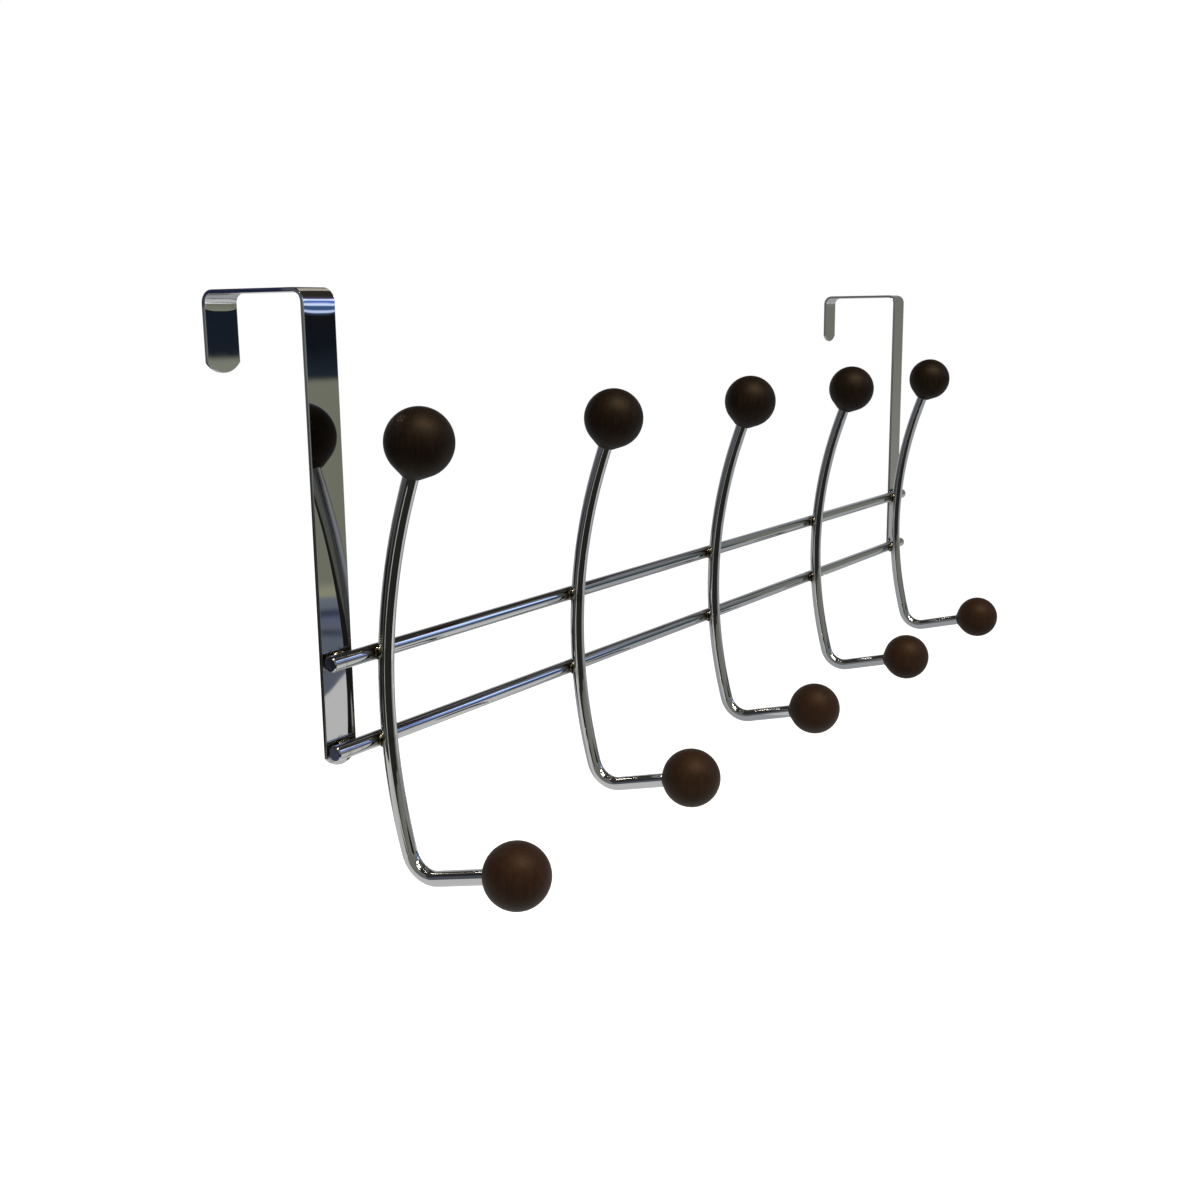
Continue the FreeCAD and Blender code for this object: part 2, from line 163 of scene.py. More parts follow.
def weld_distance(tree, place):
    """How far a point is from the nearest weld, in metres."""
    from_middle = add(tree, "ShaderNodeVectorMath", {
        0: place, 1: (0, 0, RODS_MIDDLE_MM * MM),
    }, operation="SUBTRACT")
    folded = add(tree, "ShaderNodeVectorMath", {0: from_middle}, operation="ABSOLUTE")
    at_one_hook = add(tree, "ShaderNodeVectorMath", {
        0: folded,
        1: (PITCH_MM / 2 * MM, BEYOND_ALL, BEYOND_ALL),
        2: (-PITCH_MM / 2 * MM, -BEYOND_ALL, -BEYOND_ALL),
    }, operation="WRAP")
    to_hook = add(tree, "ShaderNodeVectorMath", {
        0: at_one_hook, 1: (0, -HOOK_CONTACT_MM * MM, RODS_HALF_GAP_MM * MM),
    }, operation="SUBTRACT")
    to_strap = add(tree, "ShaderNodeVectorMath", {
        0: folded, 1: (STRAP_MM * MM, -STRAP_FACE_MM * MM, RODS_HALF_GAP_MM * MM),
    }, operation="SUBTRACT")
    squeezed = add(tree, "ShaderNodeVectorMath", {0: to_strap, 1: STRAP_CAST_SQUEEZE}, operation="MULTIPLY")
    hook_weld = add(tree, "ShaderNodeVectorMath", {0: to_hook}, operation="LENGTH")
    strap_weld = add(tree, "ShaderNodeVectorMath", {0: squeezed}, operation="LENGTH")
    return add(tree, "ShaderNodeMath", {0: hook_weld, 1: strap_weld}, operation="MINIMUM")


print("hooks every", PITCH_MM, "mm, straps at", STRAP_MM, "mm")

# %% [markdown]
# The rods are cropped to length, and the plate is thin and dull on their ends. Three
# tests find an end: it lies far out along X, well below the door's top, and in front
# of the strap's face. The last two keep the straps' own outer edges bright.

# %% Cropped rod ends
ROD_END_MM = 273.3
RODS_BELOW_MM = -100
RODS_BEFORE_MM = -1.6


def rod_end(tree, axes):
    """One on the ends of the rods, and nought everywhere else."""
    sideways = add(tree, "ShaderNodeMath", {0: axes["X"]}, operation="ABSOLUTE")
    far_out = add(tree, "ShaderNodeMath", {0: sideways, 1: ROD_END_MM * MM}, operation="GREATER_THAN")
    below = add(tree, "ShaderNodeMath", {0: axes["Z"], 1: RODS_BELOW_MM * MM}, operation="LESS_THAN")
    before = add(tree, "ShaderNodeMath", {0: axes["Y"], 1: RODS_BEFORE_MM * MM}, operation="LESS_THAN")
    on_rod = add(tree, "ShaderNodeMath", {0: below, 1: before}, operation="MULTIPLY")
    return add(tree, "ShaderNodeMath", {0: far_out, 1: on_rod}, operation="MULTIPLY")


print("rod ends are dull beyond", ROD_END_MM, "mm")

# %% [markdown]
# Chrome plate is a mirror with a very slightly cool grey. Its polish is not
# perfect: the steel under it keeps a faint waviness, so a straight reflection
# wanders a little along a strap or a rod. A noise with waves of about 14 mm bends
# the surface by a hair. The polishing marks themselves are too fine to show, so they
# are drawn as patches of 3 mm in which the shine is a little sharper or duller. The
# same patches fray the edge of the brown cast at the welds.

# %% Chrome plate
PLATED = "#bdbebf"
HEATED = "#524932"
CROPPED = "#565c70"
WAVE_MM = 14
WAVE_HEIGHT_MM = 0.02
POLISH_MM = 3
CAST_FULL_MM = 2.2
CAST_GONE_MM = 6.0
CAST_FRAY_MM = 5.0
HEATED_ROUGHER = 0.2
CROPPED_ROUGHER = 0.25
# A Mix node's two colours are its inputs number 6 and 7.
FIRST_COLOUR = 6
SECOND_COLOUR = 7


def chrome_plate(name, shape=None):
    """Bright chrome over polished steel. A shape is a bump that lies under the polish's waves."""
    material, tree = new_material(name)
    place = add(tree, "ShaderNodeTexCoord").outputs["Object"]
    end = rod_end(tree, add(tree, "ShaderNodeSeparateXYZ", {"Vector": place}).outputs)
    polish = add(tree, "ShaderNodeTexNoise", {
        "Vector": place, "Scale": 1 / (POLISH_MM * MM), "Detail": 2.0,
    })
    fray = add(tree, "ShaderNodeMath", {
        0: polish, 1: CAST_FRAY_MM * MM, 2: -CAST_FRAY_MM / 2 * MM,
    }, operation="MULTIPLY_ADD")
    away = add(tree, "ShaderNodeMath", {0: weld_distance(tree, place), 1: fray}, operation="ADD")
    cast = add(tree, "ShaderNodeMapRange", {
        "Value": away, "From Min": CAST_FULL_MM * MM, "From Max": CAST_GONE_MM * MM,
        "To Min": 1.0, "To Max": 0.0,
    })
    browned = add(tree, "ShaderNodeMix", {
        "Factor": cast, FIRST_COLOUR: linear(PLATED), SECOND_COLOUR: linear(HEATED),
    }, data_type="RGBA")
    colour = add(tree, "ShaderNodeMix", {
        "Factor": end, FIRST_COLOUR: browned, SECOND_COLOUR: linear(CROPPED),
    }, data_type="RGBA")
    shine = add(tree, "ShaderNodeMapRange", {"Value": polish, "To Min": 0.015, "To Max": 0.04})
    rough = add(tree, "ShaderNodeMath", {0: cast, 1: HEATED_ROUGHER, 2: shine}, operation="MULTIPLY_ADD")
    rough = add(tree, "ShaderNodeMath", {0: end, 1: CROPPED_ROUGHER, 2: rough}, operation="MULTIPLY_ADD")
    wave = add(tree, "ShaderNodeTexNoise", {"Vector": place, "Scale": 1 / (WAVE_MM * MM), "Detail": 0.0})
    bump = {"Height": wave, "Distance": WAVE_HEIGHT_MM * MM, "Strength": 1.0}
    if shape:
        bump["Normal"] = shape(tree)
    waves = add(tree, "ShaderNodeBump", bump)
    close_material(tree, {"Metallic": 1.0, "Base Color": colour, "Roughness": rough, "Normal": waves})
    return material


chrome = chrome_plate("chrome_plate")
print(chrome.name, "has", len(chrome.node_tree.nodes), "nodes")

# %% [markdown]
# The straps share this plate, but a strip that is bent on a press does not turn
# sharply from flat to curved. Over the last 6 mm below each top bend it already
# leans, more and more, and that short lean spreads the window's reflection into
# several blue streaks. The lean starts later at the strip's two edges, so the
# streaks curl up at their ends, and later still on the leg behind the door. It comes
# to half a millimetre at most, so it is drawn as a bump of the plate.

# %% Plate of the straps
LEAN_START_MM = -9.3
LEAN_LATER_BEHIND_MM = 3.0
LEAN_LATER_AT_EDGES_MM = 1.0
LEAN_END_MM = 1.0
LEAN_HEIGHT_MM = 1.34
LEAN_GROWTH = 1.8
EDGE_GROWTH = 3.0
DOOR_MIDDLE_MM = 23
HALF_WIDTH_MM = 7.7


def lean_start(tree, across, leg):
    """The height at which the lean starts, later at the edges and on the leg behind the door."""
    out = add(tree, "ShaderNodeMath", {0: across}, operation="ABSOLUTE")
    aside = add(tree, "ShaderNodeMath", {0: out, 1: STRAP_MM * MM}, operation="SUBTRACT")
    share = add(tree, "ShaderNodeMath", {0: aside, 1: HALF_WIDTH_MM * MM}, operation="DIVIDE")
    either = add(tree, "ShaderNodeMath", {0: share}, operation="ABSOLUTE")
    edge = add(tree, "ShaderNodeMath", {0: either, 1: EDGE_GROWTH}, operation="POWER")
    start = add(tree, "ShaderNodeMath", {
        0: edge, 1: LEAN_LATER_AT_EDGES_MM * MM, 2: LEAN_START_MM * MM,
    }, operation="MULTIPLY_ADD")
    behind = add(tree, "ShaderNodeMath", {0: leg, 1: 0.0}, operation="LESS_THAN")
    return add(tree, "ShaderNodeMath", {
        0: behind, 1: LEAN_LATER_BEHIND_MM * MM, 2: start,
    }, operation="MULTIPLY_ADD")


def strip_lean(tree):
    """The lean under the top bends, as a bump. It is turned over on a leg's inner face."""
    spot = add(tree, "ShaderNodeTexCoord").outputs
    axes = add(tree, "ShaderNodeSeparateXYZ", {"Vector": spot["Object"]}).outputs
    facing = add(tree, "ShaderNodeSeparateXYZ", {"Vector": spot["Normal"]}).outputs
    depth = add(tree, "ShaderNodeMath", {0: DOOR_MIDDLE_MM * MM, 1: axes["Y"]}, operation="SUBTRACT")
    leg = add(tree, "ShaderNodeMath", {0: depth}, operation="SIGN")
    rise = add(tree, "ShaderNodeMapRange", {
        "Value": axes["Z"], "From Min": lean_start(tree, axes["X"], leg), "From Max": LEAN_END_MM * MM,
    })
    grown = add(tree, "ShaderNodeMath", {0: rise, 1: LEAN_GROWTH}, operation="POWER")
    outward = add(tree, "ShaderNodeMath", {0: leg, 1: facing["Y"]}, operation="MULTIPLY")
    height = add(tree, "ShaderNodeMath", {0: grown, 1: outward}, operation="MULTIPLY")
    return add(tree, "ShaderNodeBump", {"Height": height, "Distance": LEAN_HEIGHT_MM * MM, "Strength": 1.0})


strip_chrome = chrome_plate("chrome_plate_on_bent_strip", strip_lean)
print(strip_chrome.name, "leans from", LEAN_START_MM, "mm")

# %% [markdown]
# The balls are turned from a close-grained wood such as beech, stained the brown
# of strong coffee and given a satin lacquer. The stain sinks unevenly into the
# grain, so the brown varies along fine streaks, and the lacquer's shine picks up
# a warm tone from the wood under it. Real beech has finer pores than the 1.2 mm that
# is drawn here, which is as coarse as they need to be to show. The lower balls have
# the same stain, but their browns are painted a shade lighter. That is painted light,
# which stands in for the light that the white paper below throws up on them.

# %% Stained wood
GRAIN_MM = 1.2
GRAIN_STRETCH = 9
PORE_DEPTH_MM = 0.02
LACQUER_IOR = 1.42
LACQUER_SHEEN = "#e6c8a4"


def stained_wood(name, dark, middle, light):
    """Stained beech under satin lacquer, in three browns from the grain's dark to its light."""
    material, tree = new_material(name)
    place = add(tree, "ShaderNodeTexCoord").outputs["Object"]
    along = add(tree, "ShaderNodeMapping", {"Vector": place, "Scale": (1, 1, 1 / GRAIN_STRETCH)})
    grain = add(tree, "ShaderNodeTexNoise", {
        "Vector": along, "Scale": 1 / (GRAIN_MM * MM), "Detail": 4.0, "Distortion": 0.4,
    })
    browns = [(0.3, dark), (0.5, middle), (0.72, light)]
    close_material(tree, {
        "Base Color": add(tree, "ShaderNodeValToRGB", {"Fac": grain}, stops=browns),
        "Roughness": add(tree, "ShaderNodeMapRange", {"Value": grain, "To Min": 0.48, "To Max": 0.56}),
        "Normal": add(tree, "ShaderNodeBump", {
            "Height": grain, "Distance": PORE_DEPTH_MM * MM, "Strength": 0.45,
        }),
        "IOR": LACQUER_IOR,
        "Specular IOR Level": 0.2,
        "Specular Tint": linear(LACQUER_SHEEN),
    })
    return material


upper_wood = stained_wood("espresso_stained_beech", "#0c0705", "#110b07", "#170f0a")
# The lower balls' browns are the same stain painted lighter: painted light from the white paper below.
wood_painted_lit_from_below = stained_wood("stained_beech_painted_lit_from_below", "#1f130b", "#23160e", "#281a11")
print("woods", upper_wood.name, "and", wood_painted_lit_from_below.name)

# %% [markdown]
# Now the frame's own pieces get their finishes. A carried-over node keeps its mesh,
# and only its material slots are filled.

# %% Finish the frame's own pieces
def finish_node(name, material):
    """Put one material on a node of the frame."""
    mesh = nodes[name].data
    mesh.materials.clear()
    mesh.materials.append(material)


for name in hooks + rods:
    finish_node(name, chrome)
for name in straps:
    finish_node(name, strip_chrome)
# The lower balls get the wood whose colour is painted lighter for the light from below.
for name in balls:
    finish_node(name, upper_wood if name.startswith("upper") else wood_painted_lit_from_below)
print("chromed", len(hooks + rods + straps), "stained", len(balls))

# %% [markdown]
# The hooks are joined to the rods by resistance welding: two crossed wires are
# pressed together while a current melts the spot where they touch. A little metal
# is squeezed out round that spot. The plating takes badly on its lumps, so it shows
# golden brown with a few bright specks. A noise with lumps of 0.8 mm gives it both
# its tones and its dents.

# %% Finish of the weld metal
LUMP_MM = 0.8
DENT_MM = 0.12


def weld_metal():
    """Squeezed-out weld metal under thin plating: golden brown, with bright specks."""
    material, tree = new_material("plated_weld_metal")
    place = add(tree, "ShaderNodeTexCoord").outputs["Object"]
    lumps = add(tree, "ShaderNodeTexNoise", {"Vector": place, "Scale": 1 / (LUMP_MM * MM), "Detail": 3.0})
    golds = [(0.35, "#262015"), (0.55, "#5e5334"), (0.7, "#d8cfb6")]
    close_material(tree, {
        "Metallic": 1.0,
        "Base Color": add(tree, "ShaderNodeValToRGB", {"Fac": lumps}, stops=golds),
        "Roughness": add(tree, "ShaderNodeMapRange", {"Value": lumps, "To Min": 0.38, "To Max": 0.16}),
        "Normal": add(tree, "ShaderNodeBump", {
            "Height": lumps, "Distance": DENT_MM * MM, "Strength": 1.0,
        }),
    })
    return material


weld_finish = weld_metal()
print(weld_finish.name, "has lumps of", LUMP_MM, "mm")

# %% [markdown]
# Each bit of weld metal is made once, roughened, and then copied to every weld,
# turned each time so that no two look alike. A copy has its own mesh, and its place
# and turn go into that mesh, so its object sits at the origin as the others do.

# %% Roughen and copy
LUMP_TEXTURE_MM = 1.3
lump_texture = bpy.data.textures.new("weld_lumps", type="CLOUDS")
lump_texture.noise_scale = LUMP_TEXTURE_MM * MM


def lumpy(piece, depth):
    """Roughen a piece by a displacement and shade it smooth."""
    displace = piece.modifiers.new("lumps", "DISPLACE")
    displace.texture = lump_texture
    displace.strength = depth
    displace.mid_level = 0.5
    bpy.ops.object.modifier_apply(modifier=displace.name)
    bpy.ops.object.shade_smooth()


def copy_to(master, name, place, turn_axis, turn):
    """A copy with its own mesh, turned, moved and settled at the origin."""
    piece = master.copy()
    piece.data = master.data.copy()
    piece.name = name
    bpy.context.collection.objects.link(piece)
    bpy.ops.object.select_all(action="DESELECT")
    piece.select_set(True)
    bpy.context.view_layer.objects.active = piece
    piece.rotation_mode = "QUATERNION"
    piece.rotation_quaternion = Quaternion(turn_axis, turn)
    piece.location = place
    bpy.ops.object.transform_apply(location=True, rotation=True, scale=True)
    piece.data.materials.append(weld_finish)
    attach(piece, "root")


print("lump texture", lump_texture.name)

# %% [markdown]
# At a crossing the squeezed-out metal stays as a lumpy collar that shows in the four
# corners between wire and rod. It starts as a ring round the spot where they touch.

# %% Collars at the crossings
ROD_LEVELS = {
    "upper": (RODS_MIDDLE_MM + RODS_HALF_GAP_MM) * MM,
    "lower": (RODS_MIDDLE_MM - RODS_HALF_GAP_MM) * MM,
}
COLLAR_RADIUS_MM = 2.15
COLLAR_THICKNESS_MM = 0.75
COLLAR_LUMPS_MM = 0.7
COLLAR_TURN = 1.9
MIDDLE_HOOK = 3
bpy.ops.object.select_all(action="DESELECT")
bpy.ops.mesh.primitive_torus_add(
    major_radius=COLLAR_RADIUS_MM * MM, minor_radius=COLLAR_THICKNESS_MM * MM,
    major_segments=48, minor_segments=16, rotation=(math.pi / 2, 0, 0),
)
bpy.ops.object.transform_apply(location=True, rotation=True, scale=True)
collar = bpy.context.object
lumpy(collar, COLLAR_LUMPS_MM * MM)
collars = 0
for number in range(1, len(hooks) + 1):
    across = (number - MIDDLE_HOOK) * PITCH_MM * MM
    for label, level in ROD_LEVELS.items():
        collars += 1
        spot = Vector((across, HOOK_CONTACT_MM * MM, level))
        copy_to(collar, f"weld_hook_{number}_{label}", spot, (0, 1, 0), COLLAR_TURN * collars)
bpy.data.objects.remove(collar)
print("weld collars", collars)

# %% [markdown]
# The rods are welded to the straps with a short bead above and below, as long as
# the welder's torch was held there. A bead starts as a small ball that is drawn out
# along the rod and roughened in the same way.

# %% Beads between rods and straps
BEAD_LENGTH_MM = 5
BEAD_THICKNESS_MM = 0.9
BEAD_LUMPS_MM = 0.8
BEAD_TURN = 2.3
BEAD_DEPTH_MM = -2.3
BEAD_FROM_ROD_MM = 2.5
bpy.ops.object.select_all(action="DESELECT")
bpy.ops.mesh.primitive_ico_sphere_add(subdivisions=4, radius=BEAD_THICKNESS_MM * MM)
bead = bpy.context.object
bead.scale = (BEAD_LENGTH_MM / 2 / BEAD_THICKNESS_MM, 1, 1)
bpy.ops.object.transform_apply(location=True, rotation=True, scale=True)
lumpy(bead, BEAD_LUMPS_MM * MM)
beads = 0
for side, sign in (("left", -1), ("right", 1)):
    for label, level in ROD_LEVELS.items():
        for edge, direction in (("over", 1), ("under", -1)):
            beads += 1
            height = level + direction * BEAD_FROM_ROD_MM * MM
            spot = Vector((sign * STRAP_MM * MM, BEAD_DEPTH_MM * MM, height))
            copy_to(bead, f"weld_{side}_strap_{label}_{edge}", spot, (1, 0, 0), BEAD_TURN * beads)
bpy.data.objects.remove(bead)
print("weld beads", beads)

# %% [markdown]
# Chrome has no colour of its own to speak of: it shows the room it stands in. A
# photographer who wants its edges to read against white lets it see a dim room,
# a table with white paper under it, and one bright window. The same is built
# here from flat cards that only reflections can see, so they hide nothing from
# the camera and throw no shadow. Their colours are written as they look in the
# chrome, which gives back about half of the light, so each glows twice as bright.

# %% Cards for the reflections
CHROME_GIVES_BACK = 0.51


def glow(tree, colour):
    """Close a card's material. The card glows in its colour, and chrome shows it as it is written."""
    light = add(tree, "ShaderNodeEmission", {"Color": colour, "Strength": 1 / CHROME_GIVES_BACK})
    add(tree, "ShaderNodeOutputMaterial", {"Surface": light})


def reflected_only(sheet, material):
    """Make a sheet a part of the stage that only reflections see."""
    sheet.data.materials.append(material)
    sheet.visible_camera = False
    sheet.visible_diffuse = False
    sheet.visible_shadow = False


print("a card glows", round(1 / CHROME_GIVES_BACK, 2), "times as bright as its colour")

# %% [markdown]
# The room's walls stand in a wide ring round the rail. Each one is an upright card
# between two headings, in degrees turned from +X towards +Y. Its colours lie in
# bands from the floor to the ceiling, because a real wall has skirting, furniture
# and shade on it, and each band is written as its angle above the horizon.

# %% An upright card
CENTRE = Vector((0, -20, -120)) * MM
WALL_DISTANCE = 4.0


def wall(name, start, end, bands, distance=WALL_DISTANCE):
    """An upright card between two headings. Bands are degrees above the horizon and a colour."""
    rises = [math.tan(math.radians(angle)) * distance for angle, code in bands]
    low, high = rises[0], rises[-1]
    heading = math.radians((start + end) / 2)
    across = 2 * distance * math.tan(math.radians(abs(end - start) / 2))
    middle = CENTRE + towards(heading, 0) * distance + Vector((0, 0, (low + high) / 2))
    turn = (math.pi / 2, 0, heading - math.pi / 2)
    bpy.ops.mesh.primitive_plane_add(size=1, location=middle, rotation=turn)
    sheet = bpy.context.object
    sheet.name = name
    sheet.scale = (across, high - low, 1)
    bpy.ops.object.transform_apply(location=True, rotation=True, scale=True)
    material, tree = new_material(name)
    place = add(tree, "ShaderNodeTexCoord").outputs["Object"]
    level = add(tree, "ShaderNodeSeparateXYZ", {"Vector": place}).outputs["Z"]
    height = add(tree, "ShaderNodeMapRange", {
        "Value": level, "From Min": CENTRE.z + low, "From Max": CENTRE.z + high,
    })
    stops = [((rise - low) / (high - low), code) for rise, (angle, code) in zip(rises, bands)]
    glow(tree, add(tree, "ShaderNodeValToRGB", {"Fac": height}, stops=stops))
    reflected_only(sheet, material)
    print(name, "from", start, "to", end, "degrees")


# %% [markdown]
# Behind the camera the room is dim and warm grey, and it grows paler from the dark
# floor up and towards the window.

# %% Walls from behind the camera to the window
wall("wall_behind_camera", -190, -110, [
    (-30, "#20201c"), (-15, "#2a2a26"), (-9, "#4c4c45"), (-3, "#67685f"), (39, "#5e615b"),
])
wall("wall_front", -110, -64, [(-20, "#3c3d3a"), (-10, "#5c5d58"), (0, "#6c6d68"), (39, "#5e615b")])
wall("wall_before_window", -64, -48, [
    (-20, "#8c8c8a"), (-3, "#868786"), (3, "#6c7075"), (39, "#4c5058"),
])

# %% [markdown]
# The wall of the window is dark below the sill and turns blue with daylight above
# it. The wall to its right is olive, and the right strap shows it from end to end.

# %% Walls of the window
wall("wall_of_window", -48, -33.5, [
    (-20, "#8a8c8c"), (-13, "#7c7e80"), (-8, "#4f5557"), (-4, "#333f43"), (7, "#323f45"),
    (12, "#4a5d6c"), (16, "#6a86b8"), (29, "#7480a8"), (32, "#403a48"), (39, "#3c3438"),
])
wall("wall_right_of_window", -33.5, -28, [
    (-20, "#8a8c8c"), (-13, "#7c7e80"), (-8, "#4f5557"), (-4, "#333f40"), (10, "#3a4648"),
    (16, "#5c6468"), (24, "#6b6d6e"), (30, "#45434a"), (39, "#2e2a2a"),
])
wall("wall_olive", -28, 4, [
    (-20, "#8c8c8a"), (-9, "#7a7a74"), (0, "#696a62"), (21, "#64655e"),
    (27, "#74767e"), (33, "#6a6c74"), (37, "#34302f"), (39, "#34302f"),
])

# %% [markdown]
# Beyond the rail hangs a pale paper backdrop, with a dark gap between its upper edge
# and the ceiling. It gives the wires and rods the pale side that they turn to it.

# %% Backdrop and the walls beside it
wall("wall_beside_backdrop", 4, 28, [
    (-14, "#98989b"), (18, "#8c8c8f"), (26, "#5c5a59"), (30, "#2c2a27"), (39, "#24211d"),
])
wall("backdrop", 28, 62, [
    (-14, "#9a9a9c"), (22, "#9a9a9c"), (26, "#6a6866"), (31, "#2c2824"), (39, "#24201c"),
])
wall("wall_beyond_backdrop", 62, 84, [
    (-14, "#88888a"), (20, "#8a8a8c"), (26, "#6a6866"), (31, "#2c2824"), (39, "#24201c"),
])

# %% [markdown]
# On the left the room is darkest. This side shows in the rods' ends and in the near
# edges of the straps, which is what draws them so sharply against white.

# %% Walls on the left
wall("wall_grey", 84, 100, [
    (-14, "#747472"), (5, "#6a6b6d"), (24, "#50525c"), (29, "#221d19"), (39, "#3c3c38"),
])
wall("wall_left", 100, 146, [
    (-22, "#1e1d1c"), (-8, "#222324"), (-4, "#37383c"), (-1, "#4c4c50"), (4, "#4a4c52"),
    (10, "#4c4e58"), (20, "#34363e"), (28, "#1c1917"), (39, "#444540"),
])
wall("wall_left_of_camera", 146, 170, [
    (-30, "#24241f"), (-17, "#34352f"), (-10, "#45464a"), (-2, "#5a5a58"), (10, "#606264"),
    (39, "#5e615b"),
])

# %% [markdown]
# The left strap is flat, so it shows one narrow part of the room in full. Its upper
# end is dark navy and olive below, which is a dark cabinet beside the window. The
# cabinet's lower edge is a little higher where the back leg sees it, so it is made as
# two cards. A third card carries the wall on under the window, and the window's
# frame and panes stand over all three as narrow bright bands, which the bends squeeze
# into streaks. A navy shelf on the left of the room shows only in the near edge of the
# left strap's top bar.

# %% Cabinet, shelf and window frame
FURNITURE_DISTANCE = 3.9
FRAME_DISTANCE = 3.85
wall("cabinet_near", -48.6, -45.4, [
    (-17, "#4e535d"), (-13.3, "#555b66"), (-13.1, "#30323e"), (-12.9, "#555b66"), (-12.5, "#51576a"),
    (-12.2, "#262b3f"), (-11.9, "#5a606a"), (-11.4, "#606670"), (-11.2, "#86866f"), (-10.9, "#7d7e6a"),
    (-10.7, "#6a6b5e"), (-1.3, "#6c6d60"), (-1.05, "#1b242c"), (0.4, "#10131a"), (4.2, "#141312"),
    (5.7, "#1d2026"),
], distance=FURNITURE_DISTANCE)
wall("cabinet_far", -53.5, -48.6, [
    (-17, "#4e535d"), (-11.4, "#5a606a"), (-11.1, "#6a6b5e"), (-0.25, "#77796c"), (0.0, "#161c25"),
    (3.2, "#161c25"),
], distance=FURNITURE_DISTANCE)
wall("navy_shelf", 129, 137, [(2.2, "#1a2138"), (3.8, "#1d2540")], distance=FURNITURE_DISTANCE)
wall("under_window", -45.4, -40.5, [
    (-17, "#828484"), (-13, "#7c7e80"), (-8, "#4f5557"), (-4, "#333f43"), (5.7, "#42586c"),
], distance=FURNITURE_DISTANCE)
wall("window_frame", -53, -40.5, [
    (5.5, "#1d2026"), (7.0, "#33465c"), (7.6, "#b4c2e4"), (8.9, "#b4c2e4"), (9.5, "#38537c"),
    (12.0, "#38537c"), (12.4, "#c8d6f2"), (13.3, "#c8d6f2"), (14.4, "#4464b0"), (22.5, "#4c6cb8"),
    (25.5, "#e2ebfb"), (31.5, "#e2ebfb"), (33.5, "#4a62b4"), (38, "#4a62b4"),
], distance=FRAME_DISTANCE)

# %% [markdown]
# Level cards complete the room. Some of them lie on a table that is turned so that
# its front edge faces the camera, and a second function places those by measures
# along that edge and across it.

# %% Level cards
def level_card(name, middle, size, code, turn=0.0):
    """A level card that only reflections see. Its middle and size are in metres."""
    bpy.ops.mesh.primitive_plane_add(size=1, location=middle, rotation=(0, 0, math.radians(turn)))
    sheet = bpy.context.object
    sheet.name = name
    sheet.scale = (*size, 1)
    bpy.ops.object.transform_apply(location=True, rotation=True, scale=True)
    material, tree = new_material(name)
    glow(tree, linear(code))
    reflected_only(sheet, material)
    print(name, "at", [round(v, 3) for v in middle])


TABLE_TURN = -30
PAPER_LEVEL = -0.24
PAPER_THICKNESS = 0.003


def table_card(name, along, across, code, level=PAPER_LEVEL):
    """A card on the table, between two measures along its front edge and two across it."""
    front = towards(math.radians(TABLE_TURN), 0)
    inward = towards(math.radians(TABLE_TURN + 90), 0)
    middle = front * (sum(along) / 2) + inward * (sum(across) / 2)
    size = (along[1] - along[0], across[1] - across[0])
    level_card(name, (middle.x, middle.y, level), size, code, turn=TABLE_TURN)


# %% [markdown]
# The rail is pictured over the table, with white paper along its front edge. Round
# it lies a dark floor, and over it a ceiling that is paler on the camera's side. One
# small pale shelf close above the rail draws the light streak in the left strap's
# front bend.

# %% Table, paper, floor and ceiling
CEILING_HEIGHT = 3.1
PALE_PART_BELOW = 0.02
table_card("table", (-0.3, 1.02), (-0.233, 1.3), "#8e8f91", PAPER_LEVEL - PAPER_THICKNESS)
table_card("paper", (-0.465, 0.2), (-0.233, -0.045), "#b0b0ae")
table_card("paper_corner", (-0.465, -0.4), (-0.4, -0.233), "#a8a59f")
level_card("table_behind", (0.025, 0.92, -0.25), (0.95, 0.96), "#8f8f8c")
level_card("dark_floor", (-2.3, -2.3, -0.6), (5.4, 5.4), "#22221f")
level_card("dark_floor_left", (-1.25, 1.75, -0.6), (1.3, 3.2), "#1f1e1c", turn=28)
level_card("dark_ceiling", (0, 0, CEILING_HEIGHT), (9, 9), "#2a2724")
level_card("pale_ceiling", (-1.0, -2.15, CEILING_HEIGHT - PALE_PART_BELOW), (6.0, 3.7), "#5e625b")
level_card("pale_shelf", (-0.002, 0.042, 0.25), (0.09, 0.08), "#a39a8e", turn=9)

# %% [markdown]
# The rail hangs from a door that is not part of it, so the real floor lies well
# below. It is plain and pale, and it keeps the object's soft shadow. Seen by the
# camera or in a reflection it gets a little extra light, so that it reads as white.

# %% Floor
FLOOR_DROP = 0.9
FLOOR_MIDDLE = (1.75, 1.6)
FLOOR_SIZE = (6.5, 6.7)
FLOOR_GLOW = 0.62


def seen_directly(tree):
    """One for rays from the camera, a reflection or through glass, and nought for the rest."""
    rays = add(tree, "ShaderNodeLightPath").outputs
    mirrored = add(tree, "ShaderNodeMath", {
        0: rays["Is Camera Ray"], 1: rays["Is Glossy Ray"],
    }, operation="MAXIMUM")
    return add(tree, "ShaderNodeMath", {
        0: mirrored, 1: rays["Is Transmission Ray"],
    }, operation="MAXIMUM")


bpy.ops.mesh.primitive_plane_add(size=1, location=(*FLOOR_MIDDLE, -FLOOR_DROP))
floor = bpy.context.object
floor.name = "floor"
floor.scale = (*FLOOR_SIZE, 1)
bpy.ops.object.transform_apply(location=True, rotation=True, scale=True)
material, tree = new_material("pale_floor")
close_material(tree, {
    "Base Color": linear("#ececec"),
    "Roughness": 0.9,
    "Emission Color": linear("#ffffff"),
    "Emission Strength": add(tree, "ShaderNodeMath", {
        0: seen_directly(tree), 1: FLOOR_GLOW,
    }, operation="MULTIPLY"),
})
floor.data.materials.append(material)
print("floor", FLOOR_DROP, "m below the door's top")

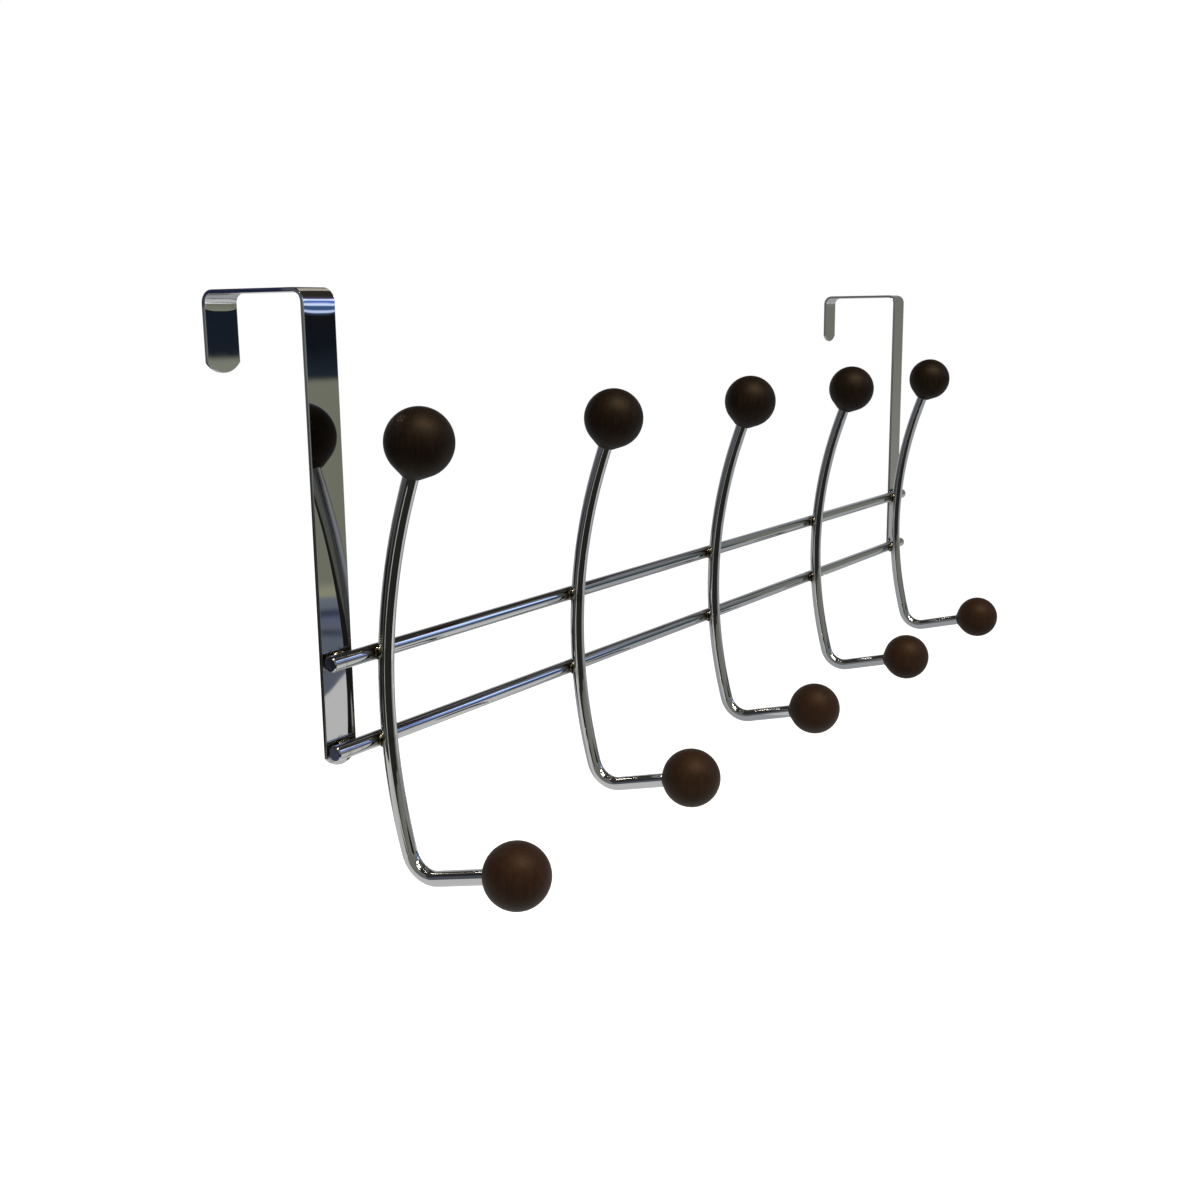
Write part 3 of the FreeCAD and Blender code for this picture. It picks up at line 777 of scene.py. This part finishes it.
# %% [markdown]
# Tube lamps on the ceiling give the wood its broad, warm highlight, and each of
# them puts a small spark on the bends. A bank of narrow daylight strips stands for
# the window's panes, low enough for the round rods to draw it out into their long
# blue streak.

# %% Lamps
def soft_lamp(name, turn, rise, distance, width, height, radiance, code):
    """A rectangular lamp that faces the object. Radiance is its brightness, where 1 is white."""
    heading = towards(math.radians(turn), math.radians(rise))
    bpy.ops.object.light_add(type="AREA", location=CENTRE + heading * distance)
    lamp = bpy.context.object
    lamp.name = name
    lamp.rotation_euler = heading.to_track_quat("Z", "Y").to_euler()
    lamp.data.shape = "RECTANGLE"
    lamp.data.size = width
    lamp.data.size_y = height
    lamp.data.color = linear(code)[:3]
    lamp.data.energy = radiance * math.pi * width * height
    print(name, "gives", round(lamp.data.energy, 2), "W")


TUBES = [(-163, 46, 6), (-128, 64, 70), (-98, 50, 42)]
TUBE_DISTANCE = 2.3
TUBE_SIZE = (1.0, 0.2)
for number, (turn, rise, radiance) in enumerate(TUBES, start=1):
    soft_lamp(f"ceiling_tube_{number}", turn, rise, TUBE_DISTANCE, *TUBE_SIZE, radiance, "#fff3e2")

PANES = [(17.2, 0.17, 1.5, "#9dbcff"), (22.4, 0.2, 2.1, "#b4ccff"), (27.6, 0.16, 1.9, "#dae6ff")]
WINDOW_TURN = -36.5
PANE_DISTANCE = 2.6
PANE_WIDTH = 0.42
for number, (rise, height, radiance, code) in enumerate(PANES, start=1):
    soft_lamp(
        f"window_pane_{number}", WINDOW_TURN, rise, PANE_DISTANCE, PANE_WIDTH, height, radiance, code,
    )

# %% [markdown]
# The world adds an even, plain light. The camera and the reflections see it as white
# instead, so the object stands before white without more light falling on it.

# %% World
AMBIENT = 0.45
world = bpy.data.worlds.new("plain_studio")
bpy.context.scene.world = world
world.use_nodes = True
tree = world.node_tree
tree.nodes.clear()
even = add(tree, "ShaderNodeBackground", {"Color": linear("#ffffff"), "Strength": AMBIENT})
white = add(tree, "ShaderNodeBackground", {"Color": linear("#ffffff"), "Strength": 1.0})
shown = add(tree, "ShaderNodeMixShader", {0: seen_directly(tree), 1: even, 2: white})
add(tree, "ShaderNodeOutputWorld", {"Surface": shown})
bpy.context.scene.view_settings.view_transform = "Standard"
print("world", world.name, "lights the object at", AMBIENT)
